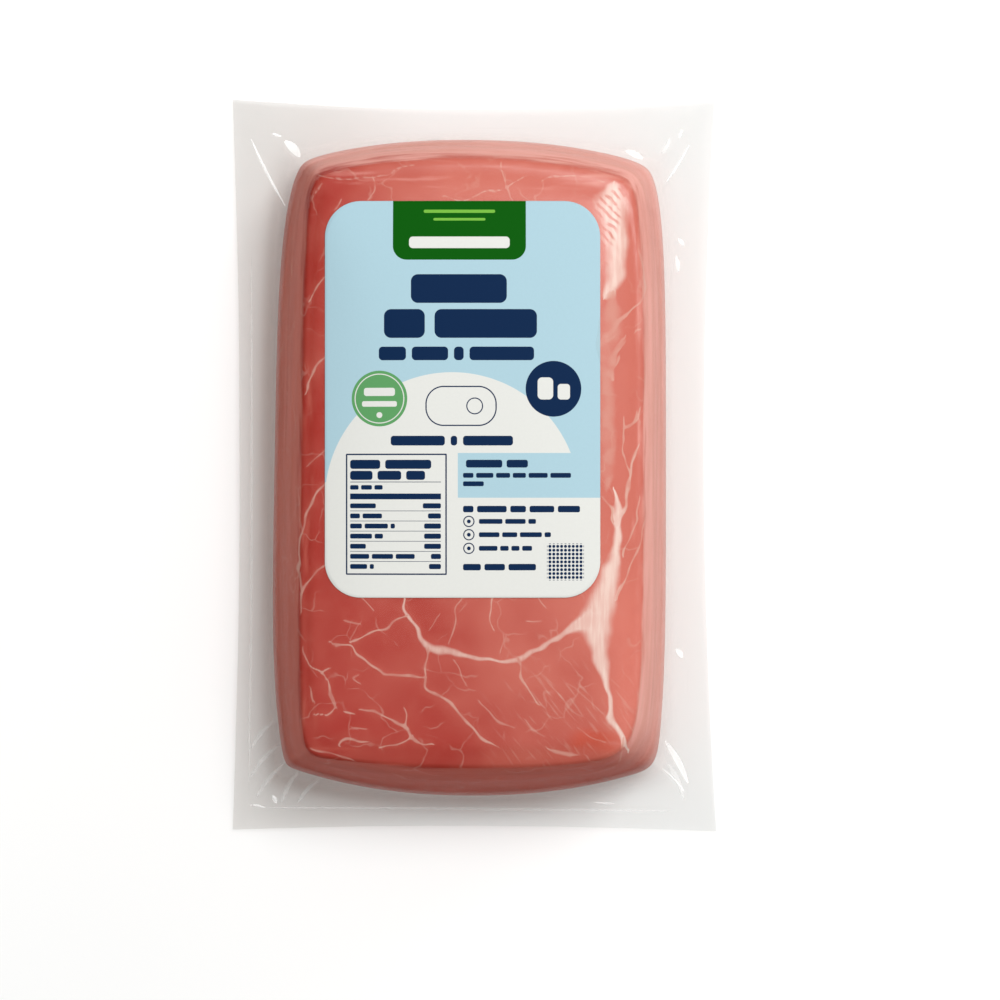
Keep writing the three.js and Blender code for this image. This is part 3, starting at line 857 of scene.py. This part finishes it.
def makeLabelMaterial():
    material, tree = newMaterial("labelPaper")
    place = placeInMm(tree)
    local = place - (*labelLook["centre"], 0)
    halfWidth, halfLength = labelLook["width"] / 2, labelLook["length"] / 2

    def box(*edges):
        return boxMask(local, *edges)

    def disc(x, y, radius):
        return box(x - radius, x + radius, y - radius, y + radius, radius)

    def ring(x, y, radius, line):
        return frameMask(local, x - radius, x + radius, y - radius, y + radius, radius, line)

    def row(*ends):
        return printRow(local, *ends)

    # The ground is blue above and pale below and in a dome. On it lie a blue note, a green tab
    # with bright stripes and a pale bar, and two round marks with plain shapes.
    layers = [
        ("pale", [disc(-3.2, -31.2, 39.4), box(-60, 60, -80, -25.7)]),
        ("blue", [box(-1.4, 60, -30.5, -16.7)]),
        ("green", [box(-21.5, 19.6, 43.0, 80, 4.3)]),
        ("brightGreen", [box(-12, 10.1, 57.6, 58.6, 0.5), box(-9, 7.1, 55.2, 56.0, 0.4)]),
        ("pale", [box(-16.5, 14.6, 46.6, 50.2, 1.2)]),
        ("leafGreen", [disc(-25.6, 0.1, 8.6)]),
        ("pale", [ring(-25.6, 0.1, 7.7, 0.3), box(-30.4, -20.8, 0.9, 3.4, 0.8),
                  box(-31.0, -20.2, -2.4, -0.7, 0.6), disc(-25.6, -5.0, 0.9)]),
        ("navy", [disc(28.1, 3.1, 8.6)]),
        ("pale", [box(23.2, 28.0, -0.2, 6.6, 1.4), box(29.4, 33.2, -0.2, 4.6, 1.0)]),
    ]

    # The large lines, as plain pills: (left, right, bottom, top, radius)
    navy = [box(*pill) for pill in (
        (-15.9, 13.7, 29.6, 38.5, 2.2), (-24.2, -11.6, 18.8, 27.7, 2.2), (-8.6, 23.0, 18.8, 27.7, 2.2),
        (-25.8, -17.4, 11.9, 16.1, 1.2), (-15.6, -4.4, 11.9, 16.1, 1.2), (-2.6, 0.4, 11.9, 16.1, 1.2),
        (2.2, 22.1, 11.9, 16.1, 1.2), (-22.1, -5.4, -14.4, -11.4, 0.9), (-3.6, -1.6, -14.4, -11.4, 0.9),
        (0.2, 15.6, -14.4, -11.4, 0.9))]

    # A plain slice in outline, with a ring for its eye
    navy += [frameMask(local, -11.4, 10.6, -8.4, 4.0, 5.6, 0.4), ring(3.8, -2.2, 2.6, 0.35)]

    # The table: a frame, two heading lines, a thick rule, and rows with a value at the right
    left, right = -34.7, -6.6
    navy += [frameMask(local, -36, -4.8, -54.3, -16.9, 0.3, 0.45), row(left, -9.6, -20.2, 2.8, 1),
             row(left, -11.5, -23.6, 2.8, 2), row(left, -24.6, -27.3, 1.4, 3),
             box(left, right, -31.0, -29.2, 0.1), box(left, right, -25.75, -25.55, 0.05)]
    firstRow, rowStep, ruleHalf = -33.0, 3.12, 0.08
    rowLengths = [8.0, 9.9, 13.9, 10.2, 4.9, 20.0, 7.4]
    valueLengths = [5.6, 4.0, 5.2, 5.2, 5.2, 3.1, 3.7]
    for k, (rowLength, valueLength) in enumerate(zip(rowLengths, valueLengths)):
        middle = firstRow - k * rowStep
        navy += [row(left, left + rowLength, middle, 1.5, 10 + k),
                 box(right - valueLength, right, middle - 0.8, middle + 0.8, 0.5)]
        if k:
            rule = middle + rowStep / 2
            navy.append(box(left, right, rule - ruleHalf, rule + ruleHalf, 0.05))

    # The right column: a note, three ringed lines, a foot line and a square of dots
    navy += [row(1.1, 20.2, -20.0, 2.4, 31), row(0.2, 33.5, -23.6, 1.5, 32), row(0.2, 6.6, -26.2, 1.5, 33),
             row(0.2, 36.3, -34.0, 2.0, 34), row(0.2, 22.7, -51.9, 2.0, 35)]
    for middle, end, seed in ((-37.8, 22.7, 41), (-41.9, 27.3, 42), (-46.1, 21.5, 43)):
        navy += [ring(2.0, middle, 1.75, 0.35), disc(2.0, middle, 0.6), row(5.1, end, middle, 1.5, seed)]
    squareLeft, squareLow, squareSize, dotPitch, margin = 26.1, -56.0, 11.4, 1.2, 0.3
    square = box(squareLeft, squareLeft + squareSize, squareLow, squareLow + squareSize, margin)
    cells = (local - (squareLeft + margin, squareLow + margin, 0)) / (dotPitch, dotPitch, 1000)
    inCell = maths("FRACTION", cells) - (0.5, 0.5, 0)
    navy.append(square * easedMask(maths("LENGTH", inCell), 0.44, 0.36))

    colour = labelLook["blue"]
    for name, shapes in [*layers, ("navy", navy)]:
        colour = mixColours(strongest(shapes), colour, labelLook[name])

    # The paper's own white shows at the cut edge
    edge = box(-halfWidth, halfWidth, -halfLength, halfLength, labelLook["cornerRadius"])
    grain, normal = grainOf(place, 0.8, 0.02)
    colour = mixColours(edge, labelLook["pale"], colour)
    colour = mixColours(1.0, colour, grain * 0.06 + 0.97, "MULTIPLY")
    finishTree(addNode("BsdfPrincipled", {
        "Base Color": colour, "Roughness": grain * 0.1 + (labelLook["roughness"] - 0.05), "Normal": normal,
        "Specular IOR Level": 0.04}))
    return material


def makeLabel():
    x, y, loop, loopX, loopY = squareGrid(*labelLook["cells"], crowding=0.05)
    share, edgeX, edgeY = outward(x, y)
    bevel, thickness, gap = labelLook["bevel"], labelLook["thickness"], labelLook["gap"]
    patch = drape(labelOutline(edgeX, edgeY, bevel) * share[..., None], gap + thickness)
    outline = labelOutline(loopX, loopY)
    rings = [drape(outline, gap + thickness - bevel), drape(outline, gap + bevel),
             drape(labelOutline(loopX, loopY, bevel), gap)]
    rings += [drape(outline * share, gap) for share in (0.92, 0.8, 0.66, 0.5, 0.33, 0.16)]
    middle = drape(np.zeros(2), gap)
    return addPiece("label_sheet", *closedSurface(patch, loop, rings, middle), makeLabelMaterial())


labelSheet = makeLabel()
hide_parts("label")
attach(labelSheet, "root")
print("label:", len(labelSheet.data.polygons), "faces")

# The film

filmLook = {
    "cells": (112, 184),
    "ringSpacing": 1.12,
    "underSpacing": 1.7,
    "borderStations": (0.1, 0.24, 0.42, 0.5, 0.62, 0.8, 1.0),
    "tint": (0.938, 0.942, 0.940, 1),
    "shadeTint": (0.845, 0.815, 0.797, 1),  # painted shade: the film's clear colour beside the loin, to the left and below
    "edgeTint": (0.92, 0.91, 0.90, 1),
    "milk": (0.78, 0.70, 0.67, 1),
    "milkShare": 0.3,  # where the film leaves the loin and is stretched
    "roughness": 0.24,
    "borderGloss": 0.1,  # the border's gloss as a share of the rest's
    "faceOnGloss": 0.014,  # share of light that each side of the film mirrors, seen face on
    "edgeOnGloss": 0.12,  # and seen edge on, where it clings to the wet meat
    "sealLine": {"left": -73.4, "right": 69.3, "bottom": -111.1, "top": 109.5, "radius": 4, "line": 0.7},
    "sealHeight": 0.1,
    "loinHalves": (62.7, 105.4),  # the loin's outline, and how far it draws in along each side
    "loinBows": (4, 8),
    "crinkle": {"place": (43, 74), "reach": (9, 15), "height": 0.11, "pitch": 2.9},
}

# Broad folds in the film's border, as (start, end, width, height): they fade at their ends
filmFolds = {
    "topLeft": ((-72.5, 107.5), (-60, 82.5), 1.6, 0.15),
    "topRight": ((69.5, 104), (61.5, 90.5), 1.6, 0.12),
    "bottomRight": ((63, -87), (69.5, -103), 2.0, 0.4),
    "bottomLeftA": ((-60.5, -96), (-72, -111), 1.6, 0.3),
    "bottomLeftB": ((-58, -99), (-65, -111), 1.5, 0.3),
    "bottomLeftC": ((-61, -92), (-74, -100), 1.6, 0.25),
}


# The height of the folds over (x, y): each is a bell across its line, times a half sine
# along it
def foldHeight(x, y):
    total = np.zeros_like(x)
    for start, end, width, height in filmFolds.values():
        span = np.subtract(end, start)
        share = np.clip(((x - start[0]) * span[0] + (y - start[1]) * span[1]) / (span @ span), 0, 1)
        distance = np.hypot(x - start[0] - share * span[0], y - start[1] - share * span[1])
        total += height * np.sin(math.pi * share) * np.exp(-((distance / width) ** 2))
    return total


# How far the film stands off its smooth form. It is taut on the top face, wavy on the sides
# and the border, pulled into lines round the sides, and crinkled in fine slanting folds at the
# upper right shoulder. It never dips to the meat.
def filmRelief(points):
    x, y, z = points.T
    onFace = smoothStep(z, 50, 57)
    (middleX, middleY), width, length = (labelLook[key] for key in ("centre", "width", "length"))
    past = np.maximum(np.abs(x - middleX) - width / 2, np.abs(y - middleY) - length / 2)
    soft = 0.08 + 0.12 * (1 - onFace)
    relief = soft * (0.7 * waves(points, 19, 5) + 0.3 * waves(points, 8, 6))
    relief += 0.1 * waves(points * (0.1, 0.1, 1.0), 4.6, 8) * (1 - onFace) * smoothStep(z, 17, 23)
    relief = np.maximum(relief, -0.08)
    slant = (x + 0.55 * y) / 1.14 + 0.9 * waves(points, 9, 7)
    crinkle = filmLook["crinkle"]
    spot = np.exp(-(((points[:, :2] - crinkle["place"]) / crinkle["reach"]) ** 2).sum(axis=1))
    relief += crinkle["height"] * spot * np.sin(slant * (2 * math.pi / crinkle["pitch"]))
    relief += foldHeight(x, y) * smoothStep(z, 30, 16)
    return relief * (1 - 0.85 * smoothStep(past, 3, -1)) * smoothStep(z, 1.0, 4.0)


def makeFilmMaterial():
    material, tree = newMaterial("film")
    place = placeInMm(tree)
    seal = frameMask(place, **filmLook["sealLine"])
    normal = addNode("Bump", {"Strength": 1.0, "Distance": filmLook["sealHeight"] * mm, "Height": seal,
                              "Normal": grainOf(place, 3.2, 0.035)[1]})
    facing = addNode("LayerWeight", {"Blend": 0.5, "Normal": normal}, "Facing")
    stretched, shaded, onBorder = separated(attribute(tree, "zones", "Vector"))
    gloss = filmLook["faceOnGloss"]
    faceOn = (1.0 - onBorder * (1 - filmLook["borderGloss"])) * gloss
    mirror = facing ** 5.0 * (filmLook["edgeOnGloss"] - gloss) + faceOn
    # Painted shade: the clear colour is darker beside the loin, away from the light
    tint = mixColours(shaded, filmLook["tint"], filmLook["shadeTint"])
    clear = addNode("BsdfTransparent", {"Color": mixColours(facing ** 3.0, tint, filmLook["edgeTint"])})
    look = {"Color": (1, 1, 1, 1), "Roughness": filmLook["roughness"], "Normal": normal}
    shine = addNode("BsdfGlossy", look)
    milk = addNode("BsdfDiffuse", {"Color": filmLook["milk"]}, tree=tree)
    finishTree(mixShaders(mirror, mixShaders(stretched * filmLook["milkShare"], clear, milk), shine))
    return material


def makeFilm():
    x, y, loop, edgeX, edgeY = squareGrid(*filmLook["cells"], crowding=0.3)
    over = upperStations(edgeX, edgeY)
    over += [borderRing(edgeX, edgeY, share, 1) for share in filmLook["borderStations"]]
    under = [borderRing(edgeX, edgeY, share, -1) for share in (*filmLook["borderStations"][::-1], 0)]
    under += [lowerRing(edgeX, edgeY, *station) for station in lowerSide]
    rings = np.concatenate([ringsThrough(over, filmLook["ringSpacing"])[1:],
                            ringsThrough(under, filmLook["underSpacing"])])
    points, faces = closedBody(x, y, loop, rings)
    normals = outwardNormals(points, faces)
    flat = smoothStep(points[:, 2], loin["lipTop"] + 7, loin["lipTop"])[:, None]
    outwards = normals * (1 - flat) + np.array([0, 0, 1.0]) * flat
    piece = addPiece("film", points + outwards * filmRelief(points)[:, None], faces, makeFilmMaterial())

    # The stretched band at the lip, the painted shade beside the loin away from the light and along the
    # left, and the duller border
    z, above = points[:, 2], normals[:, 2] > 0
    x, y = (points[:, :2] - loin["centre"]).T
    (halfX, halfY), (bowX, bowY) = filmLook["loinHalves"], filmLook["loinBows"]
    gap = np.maximum(np.abs(x) - halfX + bowX * (y / 105) ** 2, np.abs(y) - halfY + bowY * (x / 62) ** 2)
    stretched = np.exp(-((z - 14) / 3.4) ** 2) * above
    beside = np.exp(-((gap - 2.5) / 3.2) ** 2)
    below = smoothStep(np.stack([x / 57, y / 95], axis=-1) @ lightSide, 0.0, -0.6)
    shade = (0.25 * smoothStep(x, -10, -57) + 0.5 * below * beside) * smoothStep(z, 18, 10)
    storeOnPoints(piece, "zones", np.stack([stretched, shade, smoothStep(z, 12, 6)], axis=-1))
    return piece


film = makeFilm()
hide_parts("pouch")
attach(film, "root")
print("film:", len(film.data.polygons), "faces")

# Sharp creases, where the stretched film has gone white, with painted glints: the ridges are whiter than
# the whitening alone, standing for the light their folds catch.
# They are slim ridges that lie on the border, pieces of their own, since they are thinner than the film's
# grid.
creaseLook = {
    "sections": 28,
    "across": 6,
    "sink": 0.12,
    "gap": 0.1,  # over the film
    "bell": 0.9,
    # Near white: the film's stress whitening and painted glints
    "colour": (0.97, 0.97, 0.96, 1),
    "roughness": 0.3,
    "fade": 1.6,  # towards the ridge's steep edges
}
# Each is (start, end, bow to the left, width, height, whiteness), the whiteness partly the film's own and
# partly painted glint
filmCreases = {
    "topLeftLong": ((-73.0, 106.9), (-60.6, 83.0), -0.4, 1.0, 0.5, 0.95),
    "topLeftBlob": ((-61.6, 105.4), (-56.2, 99.4), 0.4, 3.2, 0.3, 0.8),
    "topLeftFleck": ((-65.8, 107.8), (-62.6, 106.8), 0.0, 1.0, 0.25, 0.6),
    "topRightLong": ((70.0, 104.6), (61.8, 91.2), 0.3, 0.8, 0.25, 0.55),
    "topRightUp": ((67.6, 109.4), (66.4, 106.0), 0.0, 1.1, 0.3, 0.5),
    "topRightUpLow": ((63.5, 106.2), (60.5, 101.0), 0.4, 1.6, 0.3, 0.25),
    "topRightBlob": ((48.6, 101.6), (54.6, 98.8), 0.3, 2.4, 0.4, 0.7),
    "bottomRightWide": ((61.4, -88.6), (69.6, -103.6), 0.5, 2.4, 0.3, 0.6),
    "bottomRightThin": ((60.4, -97.6), (68.4, -106.2), 0.4, 0.7, 0.35, 0.8),
    "bottomRightLow": ((39.0, -109.3), (45.5, -109.8), 0.0, 0.6, 0.25, 0.8),
    "bottomLeftSpark": ((-65.7, -107.0), (-64.3, -109.8), 0.2, 1.6, 0.5, 0.95),
    "bottomLeftSeal": ((-73.2, -110.2), (-67.8, -111.4), 0.3, 0.7, 0.25, 0.7),
    "bottomLeftA": ((-60.6, -95.4), (-71.0, -108.0), -0.8, 1.6, 0.3, 0.22),
    "bottomLeftB": ((-62.6, -90.0), (-72.6, -101.0), -0.9, 1.5, 0.3, 0.2),
    "bottomLeftC": ((-56.4, -98.6), (-62.6, -109.4), -0.7, 1.7, 0.3, 0.22),
    "bottomLeftD": ((-49.4, -101.2), (-57.6, -109.8), -0.8, 1.5, 0.3, 0.18),
    "bottomLeftE": ((-64.0, -82.0), (-72.6, -92.0), -0.8, 1.5, 0.3, 0.16),
    "bottomRightSoft": ((62.4, -96.0), (68.0, -108.6), 0.8, 1.8, 0.3, 0.3),
    "sealBottom": ((-71.0, -111.2), (66.0, -112.4), 0.4, 1.0, 0.2, 0.2),
    "sealLeft": ((-73.4, -108.0), (-72.6, 70.0), -0.6, 0.9, 0.2, 0.12),
    "rightHigh": ((66.0, 73.6), (68.2, 71.4), 0.0, 1.8, 0.35, 0.55),
    "rightMiddle": ((65.4, 68.0), (66.0, 62.6), 0.2, 1.7, 0.3, 0.55),
    "rightLow": ((65.2, -59.4), (67.6, -62.4), 0.2, 2.2, 0.35, 0.75),
}


def makeCreaseMaterial():
    material, tree = newMaterial("creasedFilmAndGlints")
    clear = addNode("BsdfTransparent", {"Color": (1, 1, 1, 1)}, tree=tree)
    look = {"Base Color": creaseLook["colour"], "Roughness": creaseLook["roughness"]}
    white = addNode("BsdfPrincipled", look, tree=tree)
    shadowRay = addNode("LightPath", None, "Is Shadow Ray", tree)
    facing = addNode("LayerWeight", {"Blend": 0.5}, "Facing", tree)
    share = maths("MAXIMUM", 1.0 - facing * creaseLook["fade"], 0.0) * attribute(tree, "whitenessAndGlint")
    finishTree(mixShaders(share * (1.0 - shadowRay), clear, white))
    return material


# One mesh column of the film as plain numbers, three for each point
def filmValues(name):
    values = np.empty(len(film.data.vertices) * 3)
    film.data.vertices.foreach_get(name, values)
    return values.reshape(-1, 3)


# Lens-shaped ridges on the film's upper side: a half sine along and across, closed below. Each
# point's height is the mean of the film's round it, weighted by a bell over the distance.
def makeCreases():
    surface = filmValues("co") / mm
    surface = surface[(filmValues("normal")[:, 2] > 0.3) & (surface[:, 2] < loin["lipTop"])]
    along = np.linspace(0, 1, creaseLook["sections"] + 1)[1:-1]
    turn = np.linspace(0, 2 * math.pi, 2 * creaseLook["across"], endpoint=False)
    points, faces, whitenessAndGlint = [], [], []
    for start, end, bow, width, height, white in filmCreases.values():
        start, span = np.array(start), np.subtract(end, start)
        side = np.array([-span[1], span[0]]) / np.linalg.norm(span)
        swell = np.sin(math.pi * along) ** 0.6
        middle = start + along[:, None] * span + bow * np.sin(math.pi * along)[:, None] * side
        across = 0.5 * width * swell[:, None] * np.cos(turn)
        lift = np.where(np.sin(turn) > 0, height, creaseLook["sink"]) * np.sin(turn) * swell[:, None]
        flat = (middle[:, None] + across[..., None] * side).reshape(-1, 2)
        flat = np.concatenate([flat, [start, end]])
        near = surface[(np.abs(surface[:, :2] - (start + span / 2)) < np.abs(span) / 2 + 3).all(axis=1)]
        gaps = np.linalg.norm(flat[:, None] - near[:, :2], axis=2)
        weights = np.exp(-((gaps / creaseLook["bell"]) ** 2))
        base = (weights * near[:, 2]).sum(axis=1) / weights.sum(axis=1) + creaseLook["gap"]
        base[:-2] += lift.ravel()
        first = len(points)
        points += [*np.column_stack([flat, base])]
        whitenessAndGlint += [white] * len(flat)
        ids = first + np.arange(lift.size).reshape(lift.shape)
        following = np.roll(ids, -1, axis=1)
        faces += quadsOf(ids[:-1], following[:-1], following[1:], ids[1:]).tolist()
        startId, endId = first + ids.size, first + ids.size + 1
        faces += [[startId, b, a] for a, b in zip(ids[0].tolist(), following[0].tolist())]
        faces += [[endId, a, b] for a, b in zip(ids[-1].tolist(), following[-1].tolist())]
    piece = addPiece("film_creases_and_glints", np.array(points), faces, makeCreaseMaterial())
    storeOnPoints(piece, "whitenessAndGlint", np.array(whitenessAndGlint))
    return piece


creases = makeCreases()
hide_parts("pouch")
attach(creases, "root")
print("creases:", len(creases.data.polygons), "faces")

# The studio: a pale floor, soft light from above, and a high and a low lamp at the upper right
studio = {
    "floorSize": 8000,
    "floorColour": (0.925, 0.93, 0.925, 1),
    "skyLight": 1.12,  # straight above, falling off to nothing at the horizon
    "skyPower": 2.0,
    "lampAim": (0, 0, 40),
    "lampDistance": 1300,
    "lamps": {  # direction, size and power
        "key": ((0.23, 0.27, 0.935), (500, 500), 11.2),
        "low": ((0.68, 0.65, 0.33), (600, 600), 2.8),
    },
    "cameraPlace": (8.3, -11.2, 1100),
    "pixelSize": 0.32,  # on the plane at the height below, in a picture of 1000 pixels
    "pixelHeight": 22,
}


def addFloor():
    half = studio["floorSize"] / 2
    points = np.array([(-half, -half, -0.1), (half, -half, -0.1), (half, half, -0.1), (-half, half, -0.1)])
    material, tree = newMaterial("floor")
    finishTree(addNode("BsdfDiffuse", {"Color": studio["floorColour"]}, tree=tree))
    addPiece("floor", points, [[0, 1, 2, 3]], material)


# A rectangular lamp at a place, turned to face the middle of the loin
def addLamp(name, place, size, power):
    lamp = bpy.data.lights.new(name, "AREA")
    lamp.shape = "RECTANGLE"
    lamp.size, lamp.size_y = size[0] * mm, size[1] * mm
    lamp.energy = power
    holder = bpy.data.objects.new(name, lamp)
    away = Vector(place) - Vector(studio["lampAim"])
    holder.location = Vector(place) * mm
    holder.rotation_euler = away.to_track_quat("Z", "Y").to_euler()
    bpy.context.scene.collection.objects.link(holder)


# The sky's light is a power of the direction's height, and the camera sees plain white
def addWorld():
    world = bpy.data.worlds.new("studio")
    world.use_nodes = True
    tree = world.node_tree
    tree.nodes.clear()
    up = separated(addNode("TexCoord", None, "Generated", tree))[2]
    strength = maths("MAXIMUM", up, 0.0) ** studio["skyPower"] * studio["skyLight"]
    soft = addNode("Background", {"Color": (1.0, 0.995, 0.985, 1), "Strength": strength})
    seen = addNode("Background", {"Color": (1, 1, 1, 1), "Strength": 1.0}, tree=tree)
    camera = addNode("LightPath", None, "Is Camera Ray", tree)
    finishTree(mixShaders(camera, soft, seen), "World")
    bpy.context.scene.world = world


def addCamera():
    camera = bpy.data.cameras.new("camera")
    camera.sensor_width = 36
    x, y, height = studio["cameraPlace"]
    frameWidth = 1000 * studio["pixelSize"]
    camera.lens = camera.sensor_width * (height - studio["pixelHeight"]) / frameWidth
    camera.clip_end = 50
    holder = bpy.data.objects.new("camera", camera)
    holder.location = (x * mm, y * mm, height * mm)
    bpy.context.scene.collection.objects.link(holder)
    bpy.context.scene.camera = holder


addFloor()
for lampName, (direction, lampSize, lampPower) in studio["lamps"].items():
    away = np.array(direction) / np.linalg.norm(direction)
    addLamp(lampName, away * studio["lampDistance"], lampSize, lampPower)
addWorld()
addCamera()
scene = bpy.context.scene
scene.view_settings.view_transform = "Standard"
scene.cycles.use_denoising = True
print("studio ready")
